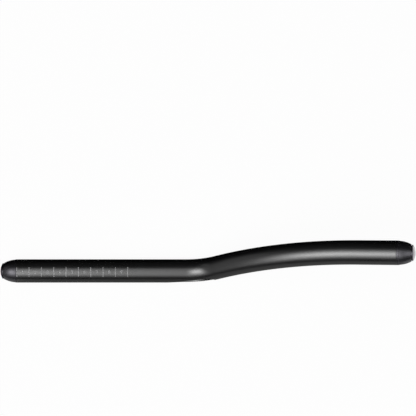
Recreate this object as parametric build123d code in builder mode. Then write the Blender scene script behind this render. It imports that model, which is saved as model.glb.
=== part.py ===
"""Ski-bend aero handlebar extension for the right hand, with its two end plugs, in millimetres.

+X runs forward along the straight clamp section, +Y points inward (the rider's left) and +Z up.
The origin is the middle of the clamp section, on the tube's axis.
"""
import os
from math import cos, radians, sin, sqrt, tan

from build123d import *

# Tube section
tube_diameter = 22.2
wall_thickness = 1.6
end_chamfer = 0.3
bore_chamfer = 0.4

# Centre line: clamp section, tight bend, long gentle curve, straight grip
clamp_length = 160.5
bend_radius = 52.0
bend_rise_angle = 31.7
bend_inward_angle = 15.6
curve_radius = 341.0
grip_rise_angle = 13.3
grip_length = 36.3

# Cable port: an oblique round cut through the outer wall of the bend, deepest at its front end
port_diameter = 10.4
port_setback = 9.4
port_run = 32.3
port_sink = 3.1
port_raise_angle = 12.0
port_lip_rounding = 0.6

# Head of a plug, outside the tube
flange_inset = 0.05
flange_thickness = 2.1
flange_chamfer = 0.2
shoulder_step = 0.25
nose_length = 10.4
nose_arc_radius = 23.0
nose_end_diameter = 15.4
nose_end_chamfer = 0.3
crease_width = 0.6
crease_depth = 0.6
button_diameter = 14.8
button_height = 3.3
button_cap_radius = 12.5
button_rim_rounding = 1.3
button_foot_chamfer = 0.15

# Spigot of a plug, inside the tube
spigot_length = 20.0
spigot_clearance = 0.35
spigot_wall = 1.7
spigot_chamfer = 0.8
barb_count = 3
barb_clearance = 0.05
barb_land = 0.8
barb_length = 3.6
barb_pitch = 5.2
first_barb = 2.4
core_depth = 8.0
core_chamfer = 2.5

tube_radius = tube_diameter / 2
bore_radius = tube_radius - wall_thickness
port_radius = port_diameter / 2
up = Vector(0, 0, 1)
equal_radii = 1e-6


def heading(rise_angle, inward_angle):
    """Unit vector that climbs by one angle and turns inward in plan by the other."""
    level = cos(radians(rise_angle))
    return Vector(
        level * cos(radians(inward_angle)),
        level * sin(radians(inward_angle)),
        sin(radians(rise_angle)),
    )


def arc_end(start, heading_in, heading_out, radius):
    """End of the arc of a radius that turns one heading into another."""
    half_turn = radians(heading_in.get_angle(heading_out) / 2)
    return start + (heading_in + heading_out) * (radius * tan(half_turn))


clamp_heading = heading(0, 0)
climb_heading = heading(bend_rise_angle, bend_inward_angle)
grip_heading = heading(grip_rise_angle, 0)

rear_end = clamp_heading * (-clamp_length / 2)
bend_start = clamp_heading * (clamp_length / 2)
bend_end = arc_end(bend_start, clamp_heading, climb_heading, bend_radius)
grip_start = arc_end(bend_end, climb_heading, grip_heading, curve_radius)
front_end = grip_start + grip_heading * grip_length

with BuildLine() as tube_axis:
    Line(rear_end, bend_start)
    TangentArc(bend_start, bend_end, tangent=clamp_heading)
    TangentArc(bend_end, grip_start, tangent=climb_heading)
    Line(grip_start, front_end)
axis_wire = tube_axis.wire()


def beside_axis(station, offset):
    """Point beside the tube's axis, on its outer side and raised by the port's angle.

    The station is the distance along the axis from the rear end of the tube.
    """
    along = axis_wire.tangent_at(station, PositionMode.LENGTH)
    outward = along.cross(up).normalized()
    upward = outward.cross(along)
    direction = outward * cos(radians(port_raise_angle)) + upward * sin(radians(port_raise_angle))
    return axis_wire.position_at(station, PositionMode.LENGTH) + direction * offset


# The port's cutter starts clear of the tube and sinks evenly as it runs forward
port_rear_station = clamp_length - port_setback
port_front_station = port_rear_station + port_run
port_rear_offset = tube_radius + port_radius
port_front_offset = tube_radius - port_sink

with BuildPart() as port_cutter:
    with BuildLine() as port_axis:
        ThreePointArc(
            beside_axis(port_rear_station, port_rear_offset),
            beside_axis(port_rear_station + port_run / 2, (port_rear_offset + port_front_offset) / 2),
            beside_axis(port_front_station, port_front_offset),
        )
    with BuildSketch(Plane(port_axis.wire() @ 0, z_dir=port_axis.wire() % 0)):
        Circle(port_radius)
    sweep(path=port_axis.wire())
    with Locations(port_axis.wire() @ 1):
        Sphere(port_radius)


def rims(part, radius):
    """Round edges of a part that have one radius."""
    circles = part.edges().filter_by(GeomType.CIRCLE)
    return circles.filter_by(lambda edge: abs(edge.radius - radius) < equal_radii)


with BuildPart() as extension_tube:
    with BuildSketch(Plane(rear_end, z_dir=clamp_heading)):
        Circle(tube_radius)
        Circle(bore_radius, mode=Mode.SUBTRACT)
    sweep(path=axis_wire)
    chamfer(rims(extension_tube.faces().filter_by(GeomType.PLANE), bore_radius), bore_chamfer)
    chamfer(rims(extension_tube.faces().filter_by(GeomType.PLANE), tube_radius), end_chamfer)
    add(port_cutter.part, mode=Mode.SUBTRACT)
    port_edges = extension_tube.edges(Select.LAST).filter_by(GeomType.CIRCLE, reverse=True)
    port_lip = port_edges.filter_by(
        lambda edge: axis_wire.distance_to(edge @ 0.5) > tube_radius - wall_thickness / 2
    )
    fillet(port_lip, port_lip_rounding)
extension_tube.part.label = "extension_tube"


def end_plug(seat, outward):
    """Push-in plug whose flange sits on a tube end: ogive nose, creased button and barbed hollow spigot.

    The profile is drawn as radius across and distance out of the tube up, then turned about the tube's axis.
    """
    plug_axis = Axis(seat, outward)
    across = outward.cross(Vector(0, 1, 0)).normalized()
    flange_radius = tube_radius - flange_inset
    nose_radius = flange_radius - shoulder_step
    nose_end = flange_thickness + nose_length
    nose_end_radius = nose_end_diameter / 2
    crease_radius = nose_end_radius - crease_depth
    button_radius = button_diameter / 2
    button_start = nose_end + crease_width
    button_top = button_start + button_height
    button_rim = button_top - button_cap_radius + sqrt(button_cap_radius**2 - button_radius**2)
    spigot_radius = bore_radius - spigot_clearance
    barb_radius = bore_radius - barb_clearance
    core_radius = spigot_radius - spigot_wall
    with BuildPart() as plug:
        with BuildSketch(Plane(seat, x_dir=across, z_dir=across.cross(outward))) as profile:
            with BuildLine():
                Polyline((0, 0), (nose_radius, 0), (nose_radius, flange_thickness))
                RadiusArc((nose_radius, flange_thickness), (nose_end_radius, nose_end), -nose_arc_radius)
                Polyline(
                    (nose_end_radius, nose_end),
                    (crease_radius, nose_end),
                    (crease_radius, button_start),
                    (button_radius, button_start),
                    (button_radius, button_rim),
                )
                RadiusArc((button_radius, button_rim), (0, button_top), -button_cap_radius)
                Line((0, button_top), (0, 0))
            make_face()
            fillet(profile.vertices().sort_by_distance((button_radius, button_rim))[0], button_rim_rounding)
            Rectangle(flange_radius, flange_thickness, align=Align.MIN)
            Rectangle(spigot_radius, spigot_length, align=(Align.MIN, Align.MAX))
            for barb in range(barb_count):
                top = -first_barb - barb * barb_pitch
                Polygon(
                    (0, top),
                    (barb_radius, top),
                    (barb_radius, top - barb_land),
                    (spigot_radius, top - barb_length),
                    (0, top - barb_length),
                    align=None,
                )
            with Locations((0, core_depth)):
                Rectangle(
                    core_radius,
                    core_depth + spigot_length,
                    align=(Align.MIN, Align.MAX),
                    mode=Mode.SUBTRACT,
                )
        revolve(axis=plug_axis)
        chamfer(rims(plug, flange_radius), flange_chamfer)
        chamfer(rims(plug, nose_end_radius), nose_end_chamfer)
        chamfer(rims(plug, button_radius).sort_by(plug_axis)[0], button_foot_chamfer)
        chamfer(rims(plug, core_radius).sort_by(plug_axis)[-1], core_chamfer)
        chamfer(rims(plug, spigot_radius).sort_by(plug_axis)[0], spigot_chamfer)
    return plug.part


with BuildPart() as end_plugs:
    add(end_plug(front_end, grip_heading))
    add(end_plug(rear_end, -clamp_heading))
end_plugs.part.label = "end_plugs"

os.makedirs("parts", exist_ok=True)
export_step(extension_tube.part, "parts/extension_tube.step")
export_step(end_plugs.part, "parts/end_plugs.step")
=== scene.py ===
"""Looks of a ski-bend aero handlebar extension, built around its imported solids, in metres.

+X runs forward along the straight clamp section, +Y points inward and +Z up. The origin is the middle of the
clamp section, on the tube's axis. A station is a distance along that axis from the tube's rear end. An angle
round the tube starts at its outer side, passes the top at a quarter turn and the inner side at a half.
"""
from __future__ import annotations

import logging
import math
from dataclasses import dataclass, field
from enum import Enum

import bpy
import numpy as np
from mathutils import Matrix


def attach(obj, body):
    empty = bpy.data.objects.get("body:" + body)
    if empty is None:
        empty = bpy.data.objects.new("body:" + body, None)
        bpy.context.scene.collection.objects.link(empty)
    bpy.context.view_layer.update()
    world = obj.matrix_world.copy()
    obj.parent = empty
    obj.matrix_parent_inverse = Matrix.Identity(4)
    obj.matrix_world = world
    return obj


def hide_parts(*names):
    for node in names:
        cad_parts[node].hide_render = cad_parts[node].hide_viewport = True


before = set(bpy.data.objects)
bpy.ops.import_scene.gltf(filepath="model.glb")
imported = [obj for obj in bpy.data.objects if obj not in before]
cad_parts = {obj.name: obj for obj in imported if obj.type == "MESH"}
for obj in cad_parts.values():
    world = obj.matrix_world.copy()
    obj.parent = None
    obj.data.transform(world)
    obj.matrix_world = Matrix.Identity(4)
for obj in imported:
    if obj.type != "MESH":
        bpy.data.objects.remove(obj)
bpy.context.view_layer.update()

Array = np.ndarray
Corners = tuple[tuple[float, float], ...]
Socket = bpy.types.NodeSocket
log = logging.getLogger("extension")

MM = 0.001
UP = np.array([0.0, 0.0, 1.0])
INWARD = np.array([0.0, 1.0, 0.0])
BODY = "root"
UV_NAME = "fibre_run"

# Points on the arc of a rounded edge, on an ellipse of a digit, and steps on a straight stroke
EDGE_POINTS = 5
BOW_POINTS = 25
LINE_STEPS = 10

# Width of a plain digit that is one unit tall
DIGIT_WIDTH = 0.58


class TubeEnd(Enum):
    """The two ends of the tube that take a plug."""

    FRONT = "front_end_plug"
    REAR = "rear_end_plug"


class Slot(Enum):
    """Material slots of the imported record."""

    LAMINATE = "carbon_laminate"
    PLUG = "plug_moulding"


# Meshes


def make_piece(
    name: str, points: Array, faces: list[Array], crease: float, uv: Array | None = None
) -> bpy.types.Object:
    """Smooth-shaded object at the origin, from its points and blocks of faces.

    Args:
        name: Name of the object and its mesh.
        points: Points, one row each, in metres.
        faces: Blocks of corner indices, each block with one corner count.
        crease: Angle between faces above which their edge stays sharp, in radians.
        uv: Pattern coordinates of every face corner, in the order of the faces.

    Returns:
        The linked object.
    """
    mesh = bpy.data.meshes.new(name)
    counts = np.concatenate([np.full(len(block), block.shape[1]) for block in faces])
    corners = np.concatenate([block.ravel() for block in faces]).astype(np.int32)
    starts = np.concatenate([[0], np.cumsum(counts)[:-1]]).astype(np.int32)
    mesh.vertices.add(len(points))
    mesh.vertices.foreach_set("co", points.astype(np.float32).ravel())
    mesh.loops.add(len(corners))
    mesh.loops.foreach_set("vertex_index", corners)
    mesh.polygons.add(len(counts))
    mesh.polygons.foreach_set("loop_start", starts)
    if uv is not None:
        layer = mesh.uv_layers.new(name=UV_NAME)
        layer.uv.foreach_set("vector", uv.astype(np.float32).ravel())
    mesh.update(calc_edges=True)
    mesh.validate()
    mesh.shade_smooth()
    mesh.set_sharp_from_angle(angle=crease)
    piece = bpy.data.objects.new(name, mesh)
    bpy.context.scene.collection.objects.link(piece)
    return piece


def numbered(points: Array, first: int = 0) -> Array:
    """Index of every point of a grid, row by row from a first index."""
    rows, columns = points.shape[:2]
    return first + np.arange(rows * columns).reshape(rows, columns)


def cell_corners(grid: Array) -> Array:
    """Corners of every cell of a grid: here, next row, next row and column, next column."""
    return np.stack([grid[:-1, :-1], grid[1:, :-1], grid[1:, 1:], grid[:-1, 1:]], axis=2)


def grid_quads(indices: Array, close_rows: bool = False) -> Array:
    """Quads between the neighbours of an index grid whose last column joins its first.

    Args:
        indices: Point index of every row and column.
        close_rows: Whether the last row joins the first too.

    Returns:
        Corner indices as rows by columns by four.
    """
    rows = np.vstack([indices, indices[:1]]) if close_rows else indices
    return cell_corners(np.hstack([rows, rows[:, :1]]))


def arc_points(centre: tuple[float, float], radius: float, start: float, end: float, count: int) -> Array:
    """Points on a circle in a plane: centre + radius (cos a, sin a), with a even from start to end."""
    angles = np.linspace(start, end, count)
    return np.array(centre) + radius * np.column_stack([np.cos(angles), np.sin(angles)])


# Centre line


@dataclass(frozen=True)
class Run:
    """One straight or circular stretch of the centre line."""

    length: float
    heading_in: Array
    heading_out: Array
    radius: float = math.inf

    def after(self, start: Array, travel: Array) -> tuple[Array, Array]:
        """Points and headings after a travel along the run.

        A straight run goes on along its heading. On an arc, the point after a turn a is start plus
        radius times (sin a heading + (1 - cos a) side), and the heading is cos a heading + sin a side.

        Args:
            start: First point of the run.
            travel: Distances from it, one column.

        Returns:
            Points and unit headings, one row for each travel.
        """
        if math.isinf(self.radius):
            return start + travel * self.heading_in, np.broadcast_to(self.heading_in, (len(travel), 3))
        across = self.heading_out - (self.heading_out @ self.heading_in) * self.heading_in
        side = across / np.linalg.norm(across)
        turn = travel / self.radius
        points = start + self.radius * (np.sin(turn) * self.heading_in + (1 - np.cos(turn)) * side)
        return points, np.cos(turn) * self.heading_in + np.sin(turn) * side


@dataclass(frozen=True)
class TubeAxis:
    """Centre line of the tube: clamp section, tight bend, long gentle curve and straight grip."""

    clamp_length: float = 160.5 * MM
    bend_radius: float = 52.0 * MM
    bend_rise: float = math.radians(31.7)
    bend_inward: float = math.radians(15.6)
    curve_radius: float = 341.0 * MM
    grip_rise: float = math.radians(13.3)
    grip_length: float = 36.3 * MM

    @staticmethod
    def heading(rise: float, inward: float) -> Array:
        """Unit vector that climbs by one angle and turns inward in plan by the other."""
        level = math.cos(rise)
        return np.array([level * math.cos(inward), level * math.sin(inward), math.sin(rise)])

    def runs(self) -> list[Run]:
        """The four stretches in order from the rear. An arc is as long as its radius times its turn.

        Returns:
            The runs.
        """
        clamp = self.heading(0.0, 0.0)
        climb = self.heading(self.bend_rise, self.bend_inward)
        grip = self.heading(self.grip_rise, 0.0)
        bend_turn = math.acos(clamp @ climb)
        curve_turn = math.acos(climb @ grip)
        return [
            Run(self.clamp_length, clamp, clamp),
            Run(self.bend_radius * bend_turn, clamp, climb, self.bend_radius),
            Run(self.curve_radius * curve_turn, climb, grip, self.curve_radius),
            Run(self.grip_length, grip, grip),
        ]

    def length(self) -> float:
        """Length of the whole centre line."""
        return sum(run.length for run in self.runs())

    def at(self, stations: Array) -> tuple[Array, Array]:
        """Points and unit headings on the axis. Each run starts where the one before it ends.

        Args:
            stations: Distances from the rear end, in one dimension.

        Returns:
            Points and headings, one row for each station.
        """
        points = np.empty((len(stations), 3))
        headings = np.empty_like(points)
        start = np.array([-self.clamp_length / 2, 0.0, 0.0])
        first = 0.0
        for run in self.runs():
            reached = stations >= first if first else np.full(len(stations), True)
            points[reached], headings[reached] = run.after(start, (stations[reached] - first)[:, None])
            start = run.after(start, np.array([[run.length]]))[0][0]
            first += run.length
        return points, headings

    def beside(self, stations: Array, angles: Array, radii: Array) -> Array:
        """Points beside the axis: axis(s) + r (cos a outward + sin a upward).

        Outward is level and square to the heading, and upward is square to both.

        Args:
            stations: Distances along the axis.
            angles: Angles round it, which broadcast with the stations.
            radii: Distances from it, which broadcast with the stations.

        Returns:
            Points in the broadcast shape, with a last dimension of three.
        """
        s, a, r = np.broadcast_arrays(stations, angles, radii)
        points, headings = self.at(s.ravel())
        outward = np.cross(headings, UP)
        outward /= np.linalg.norm(outward, axis=1, keepdims=True)
        upward = np.cross(outward, headings)
        turned = np.cos(a.ravel())[:, None] * outward + np.sin(a.ravel())[:, None] * upward
        return (points + r.ravel()[:, None] * turned).reshape(s.shape + (3,))


# Shader nodes


class Wiring:
    """Adds nodes to a node tree, with their settings, values and links."""

    # Numbers of the colour sockets of a Mix node
    MIX_FIRST = 6
    MIX_SECOND = 7
    MIX_RESULT = 2

    def __init__(self, tree: bpy.types.NodeTree) -> None:
        """Keep the tree that nodes are added to."""
        self.tree = tree

    def add(
        self, kind: str, inputs: dict[str | int, object] | None = None, **settings: object
    ) -> bpy.types.Node:
        """Add one node.

        Args:
            kind: Type name of the node.
            inputs: Values to set on its sockets, or sockets to link them from, by name or number.
            settings: Properties of the node itself.

        Returns:
            The node.
        """
        node = self.tree.nodes.new(kind)
        for name, value in settings.items():
            setattr(node, name, value)
        for key, value in (inputs or {}).items():
            if isinstance(value, Socket):
                self.tree.links.new(value, node.inputs[key])
            else:
                node.inputs[key].default_value = value
        return node

    def math(self, operation: str, first: object, second: object = 0.0) -> Socket:
        """Result of a Math node on two values or sockets."""
        return self.add("ShaderNodeMath", {0: first, 1: second}, operation=operation).outputs[0]

    def mean(self, first: Socket, second: Socket) -> Socket:
        """Mean of two values."""
        return self.math("MULTIPLY", self.math("ADD", first, second), 0.5)

    def spread(self, value: Socket, low: float, high: float) -> Socket:
        """A value from 0 to 1 spread evenly from low to high."""
        return self.add("ShaderNodeMapRange", {"Value": value, "To Min": low, "To Max": high}).outputs[0]

    def tint(self, share: Socket, first: tuple[float, ...], second: tuple[float, ...]) -> Socket:
        """Colour between two colours, by a share from 0 to 1."""
        inputs = {0: share, self.MIX_FIRST: (*first, 1.0), self.MIX_SECOND: (*second, 1.0)}
        return self.add("ShaderNodeMix", inputs, data_type="RGBA").outputs[self.MIX_RESULT]

    def bump(self, height: Socket, distance: float) -> Socket:
        """Normal of a surface that rises by a distance where a height is 1."""
        inputs = {"Strength": 1.0, "Distance": distance, "Height": height}
        return self.add("ShaderNodeBump", inputs).outputs[0]

    def place(self) -> Socket:
        """Place on the object, in metres."""
        return self.add("ShaderNodeTexCoord").outputs["Object"]

    def group(self, tree: bpy.types.NodeTree, inputs: dict[str, object]) -> Socket:
        """First output of a group placed with its own values."""
        return self.add("ShaderNodeGroup", inputs, node_tree=tree).outputs[0]

    def surface(self, shader: Socket) -> None:
        """Send a shader to the material's output."""
        self.add("ShaderNodeOutputMaterial", {"Surface": shader})


def new_group(
    name: str, inputs: dict[str, str], outputs: dict[str, str]
) -> tuple[Wiring, dict[str, Socket], bpy.types.Node]:
    """Empty shader node group with named sockets.

    Args:
        name: Name of the group.
        inputs: Socket type of each input name.
        outputs: Socket type of each output name.

    Returns:
        The group's wiring, its input values by name, and its output node.
    """
    tree = bpy.data.node_groups.new(name, "ShaderNodeTree")
    for socket, kind in inputs.items():
        tree.interface.new_socket(socket, in_out="INPUT", socket_type=kind)
    for socket, kind in outputs.items():
        tree.interface.new_socket(socket, in_out="OUTPUT", socket_type=kind)
    wiring = Wiring(tree)
    entry = wiring.add("NodeGroupInput")
    return wiring, {socket: entry.outputs[socket] for socket in inputs}, wiring.add("NodeGroupOutput")


class Effects:
    """Surface effects that several finishes share, each built once as a node group."""

    VECTOR = "NodeSocketVector"
    VALUE = "NodeSocketFloat"
    STREAK_NOISE = {"Scale": 1.0, "Detail": 2.0, "Roughness": 0.55}
    SPECKLE_NOISE = {"Detail": 3.0, "Roughness": 0.6}
    HANDLING_NOISE = {"Detail": 4.0, "Roughness": 0.5}
    HANDLING_BAND = {"From Min": 0.3, "From Max": 0.7}

    def __init__(self) -> None:
        """Build the groups."""
        self.streaks = self._streaks()
        self.speckle = self._speckle()
        self.handling = self._handling()

    @staticmethod
    def _grains(wiring: Wiring, place: Socket, size: Socket, noise: dict[str, float]) -> Socket:
        """Noise whose grains have one size: its scale is one over that size."""
        inputs = {"Vector": place, "Scale": wiring.math("DIVIDE", 1.0, size), **noise}
        return wiring.add("ShaderNodeTexNoise", inputs).outputs[0]

    def _streaks(self) -> bpy.types.NodeTree:
        """Long thin streaks with the fibres: noise on a place divided by a streak's length and width.

        Returns:
            The group.
        """
        inputs = {"Place": self.VECTOR, "Length": self.VALUE, "Width": self.VALUE}
        wiring, given, result = new_group("fibre_streaks", inputs, {"Streaks": self.VALUE})
        size = wiring.add("ShaderNodeCombineXYZ", {0: given["Length"], 1: given["Width"], 2: 1.0}).outputs[0]
        place = wiring.add("ShaderNodeVectorMath", {0: given["Place"], 1: size}, operation="DIVIDE")
        noise = wiring.add(
            "ShaderNodeTexNoise", {"Vector": place.outputs[0], **self.STREAK_NOISE}, noise_dimensions="2D"
        )
        wiring.tree.links.new(noise.outputs[0], result.inputs["Streaks"])
        return wiring.tree

    def _speckle(self) -> bpy.types.NodeTree:
        """Even fine grain of a mould or a print.

        Returns:
            The group.
        """
        inputs = {"Place": self.VECTOR, "Grain": self.VALUE}
        wiring, given, result = new_group("fine_speckle", inputs, {"Speckle": self.VALUE})
        noise = self._grains(wiring, given["Place"], given["Grain"], self.SPECKLE_NOISE)
        wiring.tree.links.new(noise, result.inputs["Speckle"])
        return wiring.tree

    def _handling(self) -> bpy.types.NodeTree:
        """Broad patches that handling leaves a little shinier: slow noise with its middle steepened.

        Returns:
            The group.
        """
        inputs = {"Place": self.VECTOR, "Patch": self.VALUE}
        wiring, given, result = new_group("handling_marks", inputs, {"Marks": self.VALUE})
        noise = self._grains(wiring, given["Place"], given["Patch"], self.HANDLING_NOISE)
        steep = wiring.add(
            "ShaderNodeMapRange", {"Value": noise, **self.HANDLING_BAND}, interpolation_type="SMOOTHSTEP"
        )
        wiring.tree.links.new(steep.outputs[0], result.inputs["Marks"])
        return wiring.tree


def new_material(name: str) -> tuple[bpy.types.Material, Wiring]:
    """Empty node material.

    Args:
        name: Name of the material.

    Returns:
        The material and its wiring.
    """
    material = bpy.data.materials.new(name)
    material.use_nodes = True
    material.node_tree.nodes.clear()
    return material, Wiring(material.node_tree)


@dataclass(frozen=True)
class LaminateFinish:
    """Satin black lacquer over fibres that run along the tube."""

    dark: tuple[float, float, float] = (0.0012, 0.0012, 0.0013)
    pale: tuple[float, float, float] = (0.0032, 0.0032, 0.0036)
    shade_gain: float = 2.0
    refraction: float = 1.8
    smooth: float = 0.25
    rough: float = 0.31
    across_fibres: float = 0.3
    gloss_turn: float = 0.25
    tow: tuple[float, float] = (70 * MM, 1.1 * MM)
    fibre: tuple[float, float] = (18 * MM, 0.16 * MM)
    patch: float = 45 * MM
    relief: float = 0.006 * MM

    def material(self, effects: Effects, run: tuple[float, float]) -> bpy.types.Material:
        """Material on the tube's own pattern coordinates.

        Args:
            effects: Shared effect groups.
            run: Length of the tube and distance round it, which turn its pattern coordinates into metres.

        Returns:
            The material.
        """
        material, wiring = new_material("carbon_laminate_lacquered")
        uv = wiring.add("ShaderNodeUVMap", uv_map=UV_NAME).outputs[0]
        place = wiring.add("ShaderNodeMapping", {"Vector": uv, "Scale": (*run, 1.0)}).outputs[0]
        tows, fibres = (
            wiring.group(effects.streaks, {"Place": place, "Length": length, "Width": width})
            for length, width in (self.tow, self.fibre)
        )
        marks = wiring.group(effects.handling, {"Place": wiring.place(), "Patch": self.patch})
        shade = wiring.spread(wiring.math("MULTIPLY", tows, fibres), 0.0, self.shade_gain)
        tangent = wiring.add("ShaderNodeTangent", direction_type="UV_MAP", uv_map=UV_NAME)
        shader = wiring.add(
            "ShaderNodeBsdfPrincipled",
            {
                "Base Color": wiring.tint(shade, self.dark, self.pale),
                "Roughness": wiring.spread(wiring.mean(tows, marks), self.smooth, self.rough),
                "IOR": self.refraction,
                "Anisotropic": self.across_fibres,
                "Anisotropic Rotation": self.gloss_turn,
                "Tangent": tangent.outputs[0],
                "Normal": wiring.bump(fibres, self.relief),
            },
        )
        wiring.surface(shader.outputs[0])
        return material


@dataclass(frozen=True)
class MouldedFinish:
    """Fine-grained surface of a moulding or a print: a base colour, its variation and its grain."""

    name: str
    dark: tuple[float, float, float]
    pale: tuple[float, float, float]
    smooth: float
    rough: float
    grain: float
    patch: float
    relief: float
    refraction: float = 1.5
    gloss_tint: tuple[float, float, float] = (1.0, 1.0, 1.0)

    def material(self, effects: Effects) -> bpy.types.Material:
        """Material on object coordinates.

        Args:
            effects: Shared effect groups.

        Returns:
            The material.
        """
        material, wiring = new_material(self.name)
        place = wiring.place()
        speckle = wiring.group(effects.speckle, {"Place": place, "Grain": self.grain})
        marks = wiring.group(effects.handling, {"Place": place, "Patch": self.patch})
        mixed = wiring.mean(speckle, marks)
        shader = wiring.add(
            "ShaderNodeBsdfPrincipled",
            {
                "Base Color": wiring.tint(mixed, self.dark, self.pale),
                "Roughness": wiring.spread(mixed, self.rough, self.smooth),
                "IOR": self.refraction,
                "Specular Tint": (*self.gloss_tint, 1.0),
                "Normal": wiring.bump(speckle, self.relief),
            },
        )
        wiring.surface(shader.outputs[0])
        return material


PLUG_FINISH = MouldedFinish(
    name="plug_satin_moulding",
    dark=(0.0011, 0.0011, 0.0016),
    pale=(0.0024, 0.0023, 0.0032),
    smooth=0.33,
    rough=0.41,
    grain=0.35 * MM,
    patch=12 * MM,
    relief=0.01 * MM,
    refraction=1.7,
    gloss_tint=(0.94, 0.92, 1.0),
)
INK_FINISH = MouldedFinish(
    name="scale_ink",
    dark=(0.27, 0.27, 0.274),
    pale=(0.35, 0.35, 0.354),
    smooth=0.42,
    rough=0.55,
    grain=0.25 * MM,
    patch=6 * MM,
    relief=0.004 * MM,
)


# The tube and its cable port


@dataclass(frozen=True)
class CablePort:
    """Oblique round cut through the outer wall of the bend, deepest at its front end, with a rounded lip."""

    radius: float = 5.2 * MM
    setback: float = 17.4 * MM
    run: float = 40.0 * MM
    sink: float = 3.1 * MM
    early_sink: float = 0.62
    raise_angle: float = math.radians(13.5)
    lip: float = 0.6 * MM

    def cutter(self, axis: TubeAxis, tube_radius: float) -> Array:
        """Arc that the cutter's centre follows as it sinks, by three points that it passes through.

        Args:
            axis: Centre line of the tube.
            tube_radius: Outer radius of the tube.

        Returns:
            The rear, middle and front points of the arc.
        """
        rear = axis.clamp_length - self.setback
        stations = np.array([rear, rear + self.run / 2, rear + self.run])
        shares = np.array([0.0, self.early_sink, 1.0])
        offsets = tube_radius + self.radius - shares * (self.radius + self.sink)
        return axis.beside(stations, np.array(self.raise_angle), offsets)

    @staticmethod
    def distance(points: Array, arc: Array) -> Array:
        """Distance of points from the cutter's arc, which runs on at the rear and ends in a ball in front.

        With h the height over the arc's plane and q the distance from its centre in that plane, the
        distance is the root of (q - arc radius) squared plus h squared. Past the front end of the arc it
        is the distance from its last point.

        Args:
            points: Points to measure, with a last dimension of three.
            arc: The three points that the arc passes through.

        Returns:
            Distances in the points' shape.
        """
        to_middle = arc[1] - arc[0]
        to_front = arc[2] - arc[0]
        normal = np.cross(to_middle, to_front)
        square = normal @ normal
        lean = (to_front @ to_front) * np.cross(normal, to_middle)
        lean += (to_middle @ to_middle) * np.cross(to_front, normal)
        centre = arc[0] + lean / (2 * square)
        normal = normal / math.sqrt(square)
        first = (arc[0] - centre) / np.linalg.norm(arc[0] - centre)
        second = np.cross(normal, first)
        end = math.atan2((arc[2] - centre) @ second, (arc[2] - centre) @ first)
        offset = points - centre
        height = offset @ normal
        x, y = offset @ first, offset @ second
        beside = np.hypot(np.hypot(x, y) - np.linalg.norm(arc[0] - centre), height)
        return np.where(np.arctan2(y, x) > end, np.linalg.norm(points - arc[2], axis=-1), beside)


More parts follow.
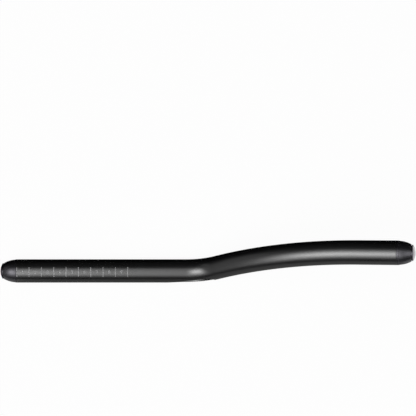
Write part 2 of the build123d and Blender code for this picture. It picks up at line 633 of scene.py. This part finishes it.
@dataclass
class ExtensionTube:
    """The hollow bent tube, with broken end edges and the cable port through its wall."""

    axis: TubeAxis = field(default_factory=TubeAxis)
    port: CablePort = field(default_factory=CablePort)
    radius: float = 11.1 * MM
    wall: float = 1.6 * MM
    end_rounding: float = 0.2 * MM
    bore_chamfer: float = 0.4 * MM
    segments: int = 128
    seam: float = math.radians(-110.0)
    block_stations: tuple[float, float] = (136.0 * MM, 196.0 * MM)
    port_middle: float = 168.0 * MM
    block_angles: tuple[float, float] = (math.radians(-46.0), math.radians(70.0))
    step: float = 2.4 * MM
    block_step: float = 0.9 * MM
    lip_points: int = 7
    wall_points: int = 5
    patch_points: int = 9
    halvings: int = 40
    crease: float = math.radians(40.0)

    @property
    def bore_radius(self) -> float:
        """Radius of the bore."""
        return self.radius - self.wall

    def around(self) -> float:
        """Distance round the outside of the tube."""
        return 2 * math.pi * self.radius

    def body_stations(self) -> tuple[Array, int, int]:
        """Stations of the plain wall, close together at the port.

        Returns:
            The stations, and the numbers of the first and last one of the port's block.
        """
        length = self.axis.length()
        low, high = self.block_stations
        margin = 2 * self.bore_chamfer
        counts = [round((low - margin) / self.step), round((high - low) / self.block_step)]
        counts.append(round((length - margin - high) / self.step))
        pieces = [
            np.linspace(margin, low, counts[0], endpoint=False),
            np.linspace(low, high, counts[1], endpoint=False),
            np.linspace(high, length - margin, counts[2]),
        ]
        return np.concatenate(pieces), counts[0], counts[0] + counts[1]

    def profile(self, body: Array) -> tuple[Array, int, int]:
        """Closed outline of the wall as station and radius: outside forward, front rim, bore back, rear rim.

        Args:
            body: Stations of the plain wall.

        Returns:
            The outline, one row a point, the row of the first body station outside, and that in the bore.
        """
        length = self.axis.length()
        rounding = self.end_rounding
        centre = self.radius - rounding
        mouth = self.bore_radius + self.bore_chamfer
        rear_rim = arc_points((rounding, centre), rounding, math.pi, math.pi / 2, EDGE_POINTS)
        front_rim = arc_points((length - rounding, centre), rounding, math.pi / 2, 0.0, EDGE_POINTS)
        front_bore = [(length, mouth), (length - self.bore_chamfer, self.bore_radius)]
        rear_bore = [(self.bore_chamfer, self.bore_radius), (0.0, mouth)]
        outside = np.column_stack([body, np.full(len(body), self.radius)])
        inside = np.column_stack([body[::-1], np.full(len(body), self.bore_radius)])
        outline = np.vstack([rear_rim, outside, front_rim, front_bore, inside, rear_bore])
        return outline, len(rear_rim), len(outline) - len(rear_bore) - 1

    def port_loops(self, centre: Array, rim: Array) -> tuple[Array, Array]:
        """Rings of points that lead from the outer wall over the port's lip and through the wall to the bore.

        Rays run from a centre in the port to the rim of the block, in station and angle. On each layer
        the ring is where a ray leaves a cutter of that layer's radius, found by halving. Over the lip the
        depth is lip (1 - cos b) and the cutter is wider by lip (1 - sin b), with b from nothing to a
        quarter turn.

        Args:
            centre: Station and angle in the middle of the port.
            rim: Station and angle of each point round the block.

        Returns:
            Ring points as layers by rays by (station, angle), and the radius of each layer.
        """
        turns = np.linspace(0.0, math.pi / 2, self.lip_points)
        lip_radii = self.radius - self.port.lip * (1 - np.cos(turns))
        lip_cutters = self.port.radius + self.port.lip * (1 - np.sin(turns))
        wall_radii = np.linspace(lip_radii[-1], self.bore_radius, self.wall_points)[1:]
        radii = np.concatenate([lip_radii, wall_radii])
        cutters = np.concatenate([lip_cutters, np.full(len(wall_radii), self.port.radius)])
        arc = self.port.cutter(self.axis, self.radius)
        low = np.zeros((len(radii), len(rim)))
        high = np.ones_like(low)
        for _ in range(self.halvings):
            share = (low + high) / 2
            place = centre + share[..., None] * (rim - centre)
            points = self.axis.beside(place[..., 0], place[..., 1], radii[:, None])
            within = self.port.distance(points, arc) < cutters[:, None]
            low = np.where(within, share, low)
            high = np.where(within, high, share)
        return centre + high[..., None] * (rim - centre), radii

    @staticmethod
    def block_rim(first: int, last: int, left: int, right: int) -> tuple[Array, Array]:
        """Points round a block of the wall's grid: forward along it, across, back and across again.

        Args:
            first: Row of its rear edge.
            last: Row of its front edge.
            left: Column of its lower edge.
            right: Column of its upper edge.

        Returns:
            The row and the column of each point.
        """
        along, across = np.arange(first, last), np.arange(left, right)
        rows = [along, np.full(len(across), last), along[::-1] + 1, np.full(len(across), first)]
        columns = [np.full(len(along), left), across, np.full(len(along), right), across[::-1] + 1]
        return np.concatenate(rows), np.concatenate(columns)

    def pattern(self, places: Array) -> Array:
        """Pattern coordinates of stations and angles, as shares of the length and of the way round."""
        return (places - (0.0, self.seam)) / (self.axis.length(), 2 * math.pi)

    def build(self) -> bpy.types.Object:
        """Build the tube as one closed wall.

        The wall is its outline carried along the axis: row k, column j is the point beside the axis at the
        outline's station k and radius k, and at the even angle j. A block of faces is left out of the outer
        wall and of the bore, and the port's rings close the gap between the two.

        Returns:
            The object.
        """
        body, first, last = self.body_stations()
        outline, outer_row, bore_row = self.profile(body)
        turn = 2 * math.pi / self.segments
        angles = self.seam + turn * np.arange(self.segments)
        left, right = (round((angle - self.seam) / turn) for angle in self.block_angles)
        wall = self.axis.beside(outline[:, :1], angles[None], outline[:, 1:])
        indices = numbered(wall)

        rows, columns = self.block_rim(first, last, left, right)
        rim = np.column_stack([body[rows], angles[columns]])
        centre = np.array([self.port_middle, self.port.raise_angle])
        loops, radii = self.port_loops(centre, rim)
        shares = np.linspace(0.0, 1.0, self.patch_points)[1:-1, None, None]
        outer_patch = rim + shares * (loops[0] - rim)
        bore_patch = loops[-1] + shares * (rim - loops[-1])
        places = np.concatenate([outer_patch, loops, bore_patch])
        depths = np.concatenate(
            [np.full(len(shares), self.radius), radii, np.full(len(shares), self.bore_radius)]
        )
        rings = self.axis.beside(places[..., 0], places[..., 1], depths[:, None])
        outer_rim = indices[outer_row + rows, columns]
        bore_rim = indices[bore_row - rows, columns]
        ring_indices = np.vstack([outer_rim, numbered(rings, indices.size), bore_rim])

        quads = grid_quads(indices, True)
        keep = np.full(quads.shape[:2], True)
        keep[outer_row + first:outer_row + last, left:right] = False
        keep[bore_row - last:bore_row - first, left:right] = False
        strip = grid_quads(ring_indices)[..., ::-1]

        stations = np.append(outline[:, 0], outline[0, 0])
        turns = np.append(angles, self.seam + 2 * math.pi)
        wall_places = np.stack(np.meshgrid(stations, turns, indexing="ij"), axis=-1)
        wall_uv = cell_corners(self.pattern(wall_places))
        ring_places = np.concatenate([rim[None], places, rim[None]])
        strip_uv = cell_corners(self.pattern(np.hstack([ring_places, ring_places[:, :1]])))
        uv = np.concatenate([wall_uv[keep].reshape(-1, 2), strip_uv[:, :, ::-1].reshape(-1, 2)])

        points = np.vstack([wall.reshape(-1, 3), rings.reshape(-1, 3)])
        return make_piece("tube_laminate", points, [quads[keep], strip.reshape(-1, 4)], self.crease, uv)

    def dress(self, piece: bpy.types.Object, effects: Effects) -> None:
        """Give the tube its lacquer and its place in the frame.

        Args:
            piece: The built tube.
            effects: Shared effect groups.
        """
        piece.data.materials.append(LaminateFinish().material(effects, (self.axis.length(), self.around())))
        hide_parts("extension_tube")
        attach(piece, BODY)


# The end plugs


@dataclass
class EndPlug:
    """Push-in plug: flange on the tube's end, ogive nose, creased button and barbed hollow spigot."""

    end: TubeEnd
    flange_radius: float = 11.05 * MM
    flange_thickness: float = 2.1 * MM
    flange_rounding: float = 0.2 * MM
    nose_radius: float = 10.8 * MM
    nose_length: float = 10.8 * MM
    nose_arc_radius: float = 23.0 * MM
    nose_end_radius: float = 7.7 * MM
    nose_end_rounding: float = 0.3 * MM
    crease_radius: float = 6.3 * MM
    crease_width: float = 0.7 * MM
    button_radius: float = 7.4 * MM
    button_height: float = 2.8 * MM
    button_cap_radius: float = 14.0 * MM
    button_rim_rounding: float = 0.5 * MM
    button_foot: float = 0.15 * MM
    spigot_radius: float = 9.15 * MM
    spigot_length: float = 20.0 * MM
    spigot_chamfer: float = 0.8 * MM
    barb_radius: float = 9.45 * MM
    barb_land: float = 0.8 * MM
    barb_length: float = 3.6 * MM
    barb_pitch: float = 5.2 * MM
    first_barb: float = 2.4 * MM
    barb_count: int = 3
    core_radius: float = 7.45 * MM
    core_depth: float = 8.0 * MM
    core_chamfer: float = 2.5 * MM
    segments: int = 128
    cap_points: int = 14
    rim_points: int = 12
    corner_points: int = 6
    ogive_points: int = 24
    crease: float = math.radians(35.0)

    def button(self) -> Array:
        """Button from its top down: a cap on the axis, a rim arc that touches cap and side, and the side.

        Returns:
            Points of the outline, as distance across and distance out of the tube.
        """
        foot = self.flange_thickness + self.nose_length + self.crease_width
        cap_centre = foot + self.button_height - self.button_cap_radius
        rim_across = self.button_radius - self.button_rim_rounding
        rim_up = math.sqrt((self.button_cap_radius - self.button_rim_rounding) ** 2 - rim_across**2)
        touch = math.atan2(rim_up, rim_across)
        cap = arc_points((0.0, cap_centre), self.button_cap_radius, math.pi / 2, touch, self.cap_points)
        rim_centre = (rim_across, cap_centre + rim_up)
        rim = arc_points(rim_centre, self.button_rim_rounding, touch, 0.0, self.rim_points)
        side = [
            (self.button_radius, foot + self.button_foot),
            (self.button_radius - self.button_foot, foot),
            (self.crease_radius, foot),
        ]
        return np.vstack([cap[1:], rim[1:], side])

    def nose(self) -> Array:
        """Nose from the crease down: a rounded end, then an arc through both ends of the nose.

        Returns:
            Points of the outline, as distance across and distance out of the tube.
        """
        top = self.flange_thickness + self.nose_length
        chord = np.array([self.nose_radius - self.nose_end_radius, -self.nose_length])
        span = np.linalg.norm(chord)
        middle = np.array([self.nose_end_radius, top]) + chord / 2
        inward = np.array([chord[1], -chord[0]]) / span
        centre = middle + inward * math.sqrt(self.nose_arc_radius**2 - (span / 2) ** 2)
        rounding = self.nose_end_rounding
        corner_up = top - rounding
        rise = corner_up - centre[1]
        corner_across = centre[0] + math.sqrt((self.nose_arc_radius - rounding) ** 2 - rise**2)
        touch = math.atan2(rise, corner_across - centre[0])
        foot = math.atan2(self.flange_thickness - centre[1], self.nose_radius - centre[0])
        ledge = [(self.crease_radius, top)]
        corner = arc_points((corner_across, corner_up), rounding, math.pi / 2, touch, self.corner_points)
        ogive = arc_points(tuple(centre), self.nose_arc_radius, touch, foot, self.ogive_points)
        return np.vstack([ledge, corner, ogive[1:]])

    def flange(self) -> Array:
        """Flange from the nose down to the tube's end, with both its edges rounded.

        Returns:
            Points of the outline, as distance across and distance out of the tube.
        """
        rounding = self.flange_rounding
        across = self.flange_radius - rounding
        top = self.flange_thickness - rounding
        upper = arc_points((across, top), rounding, math.pi / 2, 0.0, EDGE_POINTS)
        lower = arc_points((across, rounding), rounding, 0.0, -math.pi / 2, EDGE_POINTS)
        return np.vstack([upper, lower])

    def spigot(self) -> Array:
        """Spigot from the flange down over its barbs, round its end and up the hollow core.

        Returns:
            Points of the outline, as distance across and distance out of the tube.
        """
        tops = -self.first_barb - self.barb_pitch * np.arange(self.barb_count)[:, None]
        across = np.array([self.spigot_radius, self.barb_radius, self.barb_radius, self.spigot_radius])
        drops = np.array([0.0, 0.0, -self.barb_land, -self.barb_length])
        barbs = np.stack(np.broadcast_arrays(across[None], tops + drops), axis=-1).reshape(-1, 2)
        end = -self.spigot_length
        tail = [
            (self.spigot_radius, end + self.spigot_chamfer),
            (self.spigot_radius - self.spigot_chamfer, end),
            (self.core_radius, end),
            (self.core_radius, self.core_depth - self.core_chamfer),
            (self.core_radius - self.core_chamfer, self.core_depth),
        ]
        return np.vstack([[(self.spigot_radius, 0.0)], barbs, tail])

    def build(self, axis: TubeAxis) -> bpy.types.Object:
        """Turn the plug's outline about the tube's axis.

        Row k, column j is seat + up_k outward + across_k (cos a_j first + sin a_j second), with first, second
        and outward square to each other. Both ends of the outline meet the axis in one point each.

        Args:
            axis: Centre line of the tube.

        Returns:
            The object.
        """
        station = axis.length() if self.end is TubeEnd.FRONT else 0.0
        seats, headings = axis.at(np.array([station]))
        outward = headings[0] if self.end is TubeEnd.FRONT else -headings[0]
        first = np.cross(outward, INWARD)
        first /= np.linalg.norm(first)
        second = np.cross(outward, first)
        outline = np.vstack([self.button(), self.nose(), self.flange(), self.spigot()])
        turns = 2 * math.pi * np.arange(self.segments) / self.segments
        radial = np.cos(turns)[:, None] * first + np.sin(turns)[:, None] * second
        rings = seats[0] + outline[:, 1, None, None] * outward + outline[:, 0, None, None] * radial[None]
        indices = numbered(rings)
        top = self.flange_thickness + self.nose_length + self.crease_width + self.button_height
        poles = seats[0] + np.array([[top], [self.core_depth]]) * outward
        cap, floor = indices.size, indices.size + 1
        ahead = np.roll(indices, -1, axis=1)
        cap_fan = np.column_stack([np.full(self.segments, cap), indices[0], ahead[0]])
        floor_fan = np.column_stack([indices[-1], np.full(self.segments, floor), ahead[-1]])
        quads = grid_quads(indices).reshape(-1, 4)
        points = np.vstack([rings.reshape(-1, 3), poles])
        return make_piece(self.end.value, points, [quads, cap_fan, floor_fan], self.crease)

    def dress(self, piece: bpy.types.Object, material: bpy.types.Material) -> None:
        """Give the plug its finish and its place in the frame.

        Args:
            piece: The built plug.
            material: The finish that both plugs share.
        """
        piece.data.materials.append(material)
        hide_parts("end_plugs")
        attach(piece, BODY)


# The printed length scale


@dataclass(frozen=True)
class Stroke:
    """Centre line of one printed stroke, flat, as distance forward and distance inward."""

    path: Array
    closed: bool = False


def bow(centre: tuple[float, float], size: tuple[float, float], start: float, end: float) -> Array:
    """Points on an ellipse: centre + size (cos a, sin a), with a even between two angles in degrees."""
    angles = np.radians(np.linspace(start, end, BOW_POINTS))
    return np.array(centre) + np.array(size) * np.column_stack([np.cos(angles), np.sin(angles)])


def straight(*corners: tuple[float, float]) -> Array:
    """Points on straight lines between corners, in even steps on each line.

    Args:
        corners: Ends of the lines, in order.

    Returns:
        The points, one row each.
    """
    points = np.array(corners)
    knots = np.arange(len(points))
    shares = np.linspace(0, knots[-1], LINE_STEPS * knots[-1] + 1)
    return np.column_stack([np.interp(shares, knots, column) for column in points.T])


def digit_strokes(digit: int) -> list[Stroke]:
    """Strokes of one plain digit, one unit tall, from straight lines and ellipses.

    Args:
        digit: A number from 1 to 9.

    Returns:
        The strokes.
    """
    ring = bow((0.29, 0.3), (0.27, 0.3), 0, 360)[:-1]
    stem = bow((0.52, 0.3), (0.5, 0.7), 180, 100)
    hook = np.vstack([bow((0.28, 0.72), (0.27, 0.28), 165, -35), straight((0.0, 0.0), (DIGIT_WIDTH, 0.0))])
    turned = np.array([DIGIT_WIDTH, 1.0])
    drawn = {
        1: [Stroke(straight((0.1, 0.76), (0.36, 1.0), (0.36, 0.0)))],
        2: [Stroke(hook)],
        3: [
            Stroke(bow((0.26, 0.75), (0.25, 0.25), 150, -90)),
            Stroke(bow((0.26, 0.26), (0.29, 0.26), 90, -150)),
        ],
        4: [
            Stroke(straight((0.42, 1.0), (0.0, 0.3), (0.6, 0.3))),
            Stroke(straight((0.44, 0.55), (0.44, 0.0))),
        ],
        5: [
            Stroke(straight((0.53, 1.0), (0.1, 1.0), (0.06, 0.53))),
            Stroke(bow((0.26, 0.32), (0.3, 0.32), 132, -150)),
        ],
        6: [Stroke(ring, True), Stroke(stem)],
        7: [Stroke(straight((0.0, 1.0), (0.57, 1.0), (0.2, 0.0)))],
        8: [
            Stroke(bow((0.29, 0.75), (0.23, 0.25), 0, 360)[:-1], True),
            Stroke(bow((0.29, 0.26), (0.28, 0.26), 0, 360)[:-1], True),
        ],
        9: [Stroke(turned - ring, True), Stroke(turned - stem)],
    }
    return drawn[digit]


@dataclass
class LengthScale:
    """Grey ticks and numbers printed along the top of the clamp section."""

    tube: ExtensionTube
    first_tick: float = 0.5 * MM
    pitch: float = 11.68 * MM
    ticks: int = 10
    tick_length: float = 9.4 * MM
    tick_width: float = 0.62 * MM
    digit_height: float = 2.7 * MM
    digit_width: float = 1.65 * MM
    digit_stroke: float = 0.38 * MM
    inward: float = -0.5 * MM
    proud: float = 0.02 * MM
    sunk: float = 0.02 * MM
    crease: float = math.radians(40.0)

    def ribbon(self, stroke: Stroke, width: float, first: int) -> tuple[Array, list[Array]]:
        """One printed stroke as a closed skin of ink on the tube.

        A small upright rectangle is carried along the stroke's path. Its sides stand off the path by half
        the width along the mitre, (n + m) / (1 + n m) for the normals n and m of the lines before and
        after. A distance inward becomes an angle round the tube, past the top.

        Args:
            stroke: Path of the stroke, as station and distance inward.
            width: Width of the stroke.
            first: Index of the skin's first point.

        Returns:
            Points and blocks of faces.
        """
        path = stroke.path
        steps = np.diff(np.vstack([path, path[:1]]) if stroke.closed else path, axis=0)
        steps /= np.linalg.norm(steps, axis=1, keepdims=True)
        normals = np.column_stack([-steps[:, 1], steps[:, 0]])
        if stroke.closed:
            before, after = np.roll(normals, 1, axis=0), normals
        else:
            before, after = np.vstack([normals[:1], normals]), np.vstack([normals, normals[-1:]])
        mitre = (before + after) / (1 + (before * after).sum(1, keepdims=True))
        sides = np.array([-0.5, -0.5, 0.5, 0.5]) * width
        heights = np.array([-self.sunk, self.proud, self.proud, -self.sunk])
        flat = path[:, None] + sides[None, :, None] * mitre[:, None]
        radii = np.broadcast_to(self.tube.radius + heights, flat.shape[:2])
        points = self.tube.axis.beside(flat[..., 0], math.pi / 2 + flat[..., 1] / self.tube.radius, radii)
        indices = numbered(points, first)
        faces = [grid_quads(indices, stroke.closed).reshape(-1, 4)]
        if not stroke.closed:
            faces.append(np.stack([indices[0], indices[-1, ::-1]]))
        return points.reshape(-1, 3), faces

    def strokes(self) -> list[tuple[Stroke, float]]:
        """Every tick and digit in its place.

        Returns:
            The strokes, each with its width.
        """
        placed = []
        half = self.tick_length / 2
        for tick in range(self.ticks):
            station = self.first_tick + tick * self.pitch
            line = straight((station, self.inward - half), (station, self.inward + half))
            placed.append((Stroke(line), self.tick_width))
        size = np.array([self.digit_width / DIGIT_WIDTH, self.digit_height])
        for number in range(1, self.ticks):
            middle = self.first_tick + (number - 0.5) * self.pitch
            corner = np.array([middle - self.digit_width / 2, self.inward - self.digit_height / 2])
            for stroke in digit_strokes(number):
                placed.append((Stroke(corner + size * stroke.path, stroke.closed), self.digit_stroke))
        return placed

    def build(self) -> bpy.types.Object:
        """Build all strokes as one object.

        Returns:
            The object.
        """
        blocks, faces, count = [], [], 0
        for stroke, width in self.strokes():
            points, quads = self.ribbon(stroke, width, count)
            blocks.append(points)
            faces += quads
            count += len(points)
        return make_piece("length_scale_print", np.vstack(blocks), faces, self.crease)

    def dress(self, piece: bpy.types.Object, material: bpy.types.Material) -> None:
        """Give the print its ink and its place in the frame.

        Args:
            piece: The built print.
            material: The ink.
        """
        piece.data.materials.append(material)
        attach(piece, BODY)


# Studio


@dataclass(frozen=True)
class Softbox:
    """Rectangular soft light, as the part sees it: how far it leans from overhead and how wide it looks.

    Leans and half widths are in degrees, along X and along Y.
    """

    name: str
    lean: tuple[float, float]
    half_width: tuple[float, float]
    radiance: float
    gloss_only: bool = False


@dataclass(frozen=True)
class Card:
    """Glowing four-cornered card that lies on the floor, in layers, and that only reflections see: a painted
    reflection, not a lamp.
    """

    name: str
    corners: Corners
    layer: int
    glow: float


@dataclass
class Studio:
    """White floor, soft lights, cards and camera."""

    centre: tuple[float, float, float] = (0.095, 0.01, 0.03)
    floor_height: float = -11.2 * MM
    floor_size: float = 8.0
    floor_glow: float = 0.95
    floor_paper: tuple[float, float, float] = (0.85, 0.85, 0.85)
    wall_glow: float = 0.03
    card_lift: float = 0.3 * MM
    # Fades of the dark card's glow: its painted grey reflection on the part's outer side
    card_fades: tuple[tuple[float, float, float], ...] = ((-0.03, 0.0, 0.26), (-0.5, -0.03, 0.2))
    # Glowing cards that only reflections see: painted bright reflections on the front plug and on the outer
    # side near both ends
    cards: tuple[Card, ...] = (
        Card("front_card", ((0.335, -0.015), (3.0, -1.6), (3.0, 1.7), (0.335, 0.055)), 3, 3.3),
        Card("side_card", ((0.31, -0.8), (1.2, -0.8), (1.2, -0.05), (0.31, -0.05)), 2, 0.85),
        Card("rear_side_card", ((-0.6, -0.6), (-0.088, -0.6), (-0.088, -0.011), (-0.6, -0.011)), 2, 0.66),
    )
    camera_aim: tuple[float, float, float] = (0.10139, 0.06013, 0.0)
    camera_distance: float = 1.205
    camera_tilt: float = math.radians(0.105)
    camera_reach: float = 50.0
    lens: float = 109.15
    light_distance: float = 8.0
    softboxes: tuple[Softbox, ...] = (
        Softbox("key_core", (-25.5, -13.0), (11.0, 13.0), 4.3),
        Softbox("key_middle", (-25.0, -14.0), (16.0, 27.0), 2.2),
        Softbox("key_rim", (-20.0, -14.0), (26.0, 41.0), 0.9),
        Softbox("overhead_softbox", (1.0, -16.0), (10.0, 40.0), 0.4),
        Softbox("front_panel", (34.0, -8.0), (22.0, 22.0), 2.4, True),
        Softbox("rear_panel", (-64.0, -8.0), (12.0, 46.0), 0.4, True),
    )

    @staticmethod
    def sheet(name: str, corners: Corners, height: float) -> bpy.types.Object:
        """Level four-cornered sheet.

        Args:
            name: Name of the object.
            corners: Its corners in plan.
            height: Its height.

        Returns:
            The object.
        """
        points = np.column_stack([np.array(corners), np.full(len(corners), height)])
        piece = make_piece(name, points, [np.arange(len(corners))[None]], math.pi)
        return piece

    def whole_floor(self) -> Corners:
        """Corners of the floor."""
        half = self.floor_size / 2
        return (-half, -half), (half, -half), (half, half), (-half, half)

    def floor(self) -> None:
        """White floor that glows to the camera and in reflections, and keeps a soft shadow."""
        piece = self.sheet("studio_floor", self.whole_floor(), self.floor_height)
        material, wiring = new_material("floor_white")
        rays = wiring.add("ShaderNodeLightPath").outputs
        seen = wiring.math("MAXIMUM", rays["Is Camera Ray"], rays["Is Glossy Ray"])
        seen = wiring.math("MAXIMUM", seen, rays["Is Transmission Ray"])
        share = wiring.math("MULTIPLY", seen, self.floor_glow)
        paper = wiring.add("ShaderNodeBsdfDiffuse", {"Color": (*self.floor_paper, 1.0)}).outputs[0]
        glow = wiring.add("ShaderNodeEmission", {"Strength": 1.0}).outputs[0]
        mixed = wiring.add("ShaderNodeMixShader", {0: share, 1: paper, 2: glow}).outputs[0]
        wiring.surface(mixed)
        piece.data.materials.append(material)

    def lay_card(self, name: str, corners: Corners, layer: int) -> bpy.types.Object:
        """Card on the floor that only reflections see.

        Args:
            name: Name of the object.
            corners: Its corners in plan.
            layer: Its layer, counted from the floor.

        Returns:
            The object.
        """
        piece = self.sheet(name, corners, self.floor_height + layer * self.card_lift)
        piece.visible_camera = False
        piece.visible_diffuse = False
        piece.visible_transmission = False
        piece.visible_shadow = False
        return piece

    def bright_cards(self) -> None:
        """Even glowing cards in front of the part and beside its two ends, which paint bright reflections on
        its plugs and ends.
        """
        for card in self.cards:
            piece = self.lay_card(card.name, card.corners, card.layer)
            material, wiring = new_material(card.name)
            glow = wiring.add("ShaderNodeEmission", {"Strength": card.glow}).outputs[0]
            wiring.surface(glow)
            piece.data.materials.append(material)

    def dark_card(self) -> None:
        """Card under everything, black on the inner side of the part and grey on the outer, that paints the
        part's reflections: a painted dark reflection on its inner side and a painted grey one on its outer
        side.

        Each of its fades goes from a glow at one distance inward to nothing at another, and they add up.
        """
        piece = self.lay_card("dark_card", self.whole_floor(), 1)
        material, wiring = new_material("painted_reflection_black_to_grey")
        inward = wiring.add("ShaderNodeSeparateXYZ", {0: wiring.place()}).outputs["Y"]
        near, far = (
            wiring.add(
                "ShaderNodeMapRange",
                {"Value": inward, "From Min": low, "From Max": high, "To Min": glow, "To Max": 0.0},
            ).outputs[0]
            for low, high, glow in self.card_fades
        )
        glow = wiring.add("ShaderNodeEmission", {"Strength": wiring.math("ADD", near, far)}).outputs[0]
        wiring.surface(glow)
        piece.data.materials.append(material)

    def lights(self) -> None:
        """Soft lights far away.

        Each is as large as its half widths ask, 2 d tan w, and its power, radiance times pi times area,
        gives it its radiance.
        """
        centre = np.array(self.centre)
        for box in self.softboxes:
            lamp = bpy.data.lights.new(box.name, "AREA")
            lamp.shape = "RECTANGLE"
            lamp.size, lamp.size_y = 2 * self.light_distance * np.tan(np.radians(box.half_width))
            lamp.energy = box.radiance * math.pi * lamp.size * lamp.size_y
            light = bpy.data.objects.new(box.name, lamp)
            light.visible_camera = False
            light.visible_diffuse = not box.gloss_only
            toward = np.array([*np.tan(np.radians(box.lean)), 1.0])
            toward /= np.linalg.norm(toward)
            across = np.cross(INWARD, toward)
            across /= np.linalg.norm(across)
            matrix = np.eye(4)
            place = centre + self.light_distance * toward
            matrix[:3] = np.column_stack([across, np.cross(toward, across), toward, place])
            light.matrix_world = Matrix(matrix.tolist())
            bpy.context.scene.collection.objects.link(light)

    def world(self) -> None:
        """World that is white to the camera and through clear pieces, and else dark, as black walls are."""
        world = bpy.data.worlds.new("studio_world")
        world.use_nodes = True
        world.node_tree.nodes.clear()
        wiring = Wiring(world.node_tree)
        rays = wiring.add("ShaderNodeLightPath").outputs
        seen = wiring.math("MAXIMUM", rays["Is Camera Ray"], rays["Is Transmission Ray"])
        strength = wiring.math("MAXIMUM", seen, self.wall_glow)
        glow = wiring.add("ShaderNodeBackground", {"Strength": strength}).outputs[0]
        wiring.add("ShaderNodeOutputWorld", {"Surface": glow})
        bpy.context.scene.world = world

    def camera(self) -> None:
        """Camera above the part that looks down, with the part's front to the right."""
        data = bpy.data.cameras.new("camera")
        data.lens = self.lens
        data.clip_end = self.camera_reach
        camera = bpy.data.objects.new("camera", data)
        back = np.array([-math.sin(self.camera_tilt), 0.0, math.cos(self.camera_tilt)])
        camera.location = np.array(self.camera_aim) + self.camera_distance * back
        camera.rotation_euler = (0.0, -self.camera_tilt, 0.0)
        bpy.context.scene.collection.objects.link(camera)
        bpy.context.scene.camera = camera

    def build(self) -> None:
        """Set up the whole stage."""
        bpy.context.scene.view_settings.view_transform = "Standard"
        self.floor()
        self.dark_card()
        self.bright_cards()
        self.lights()
        self.world()
        self.camera()


def report(piece: bpy.types.Object) -> None:
    """Log a finished piece."""
    log.info("%s: %d faces", piece.name, len(piece.data.polygons))


def main() -> None:
    """Build the stage and every piece of the part."""
    logging.basicConfig(level=logging.INFO, format="%(message)s")
    Studio().build()
    effects = Effects()
    tube = ExtensionTube()
    piece = tube.build()
    tube.dress(piece, effects)
    report(piece)
    moulded = PLUG_FINISH.material(effects)
    for end in TubeEnd:
        plug = EndPlug(end)
        piece = plug.build(tube.axis)
        plug.dress(piece, moulded)
        report(piece)
    scale = LengthScale(tube)
    piece = scale.build()
    scale.dress(piece, INK_FINISH.material(effects))
    report(piece)


if __name__ == "__main__":
    main()
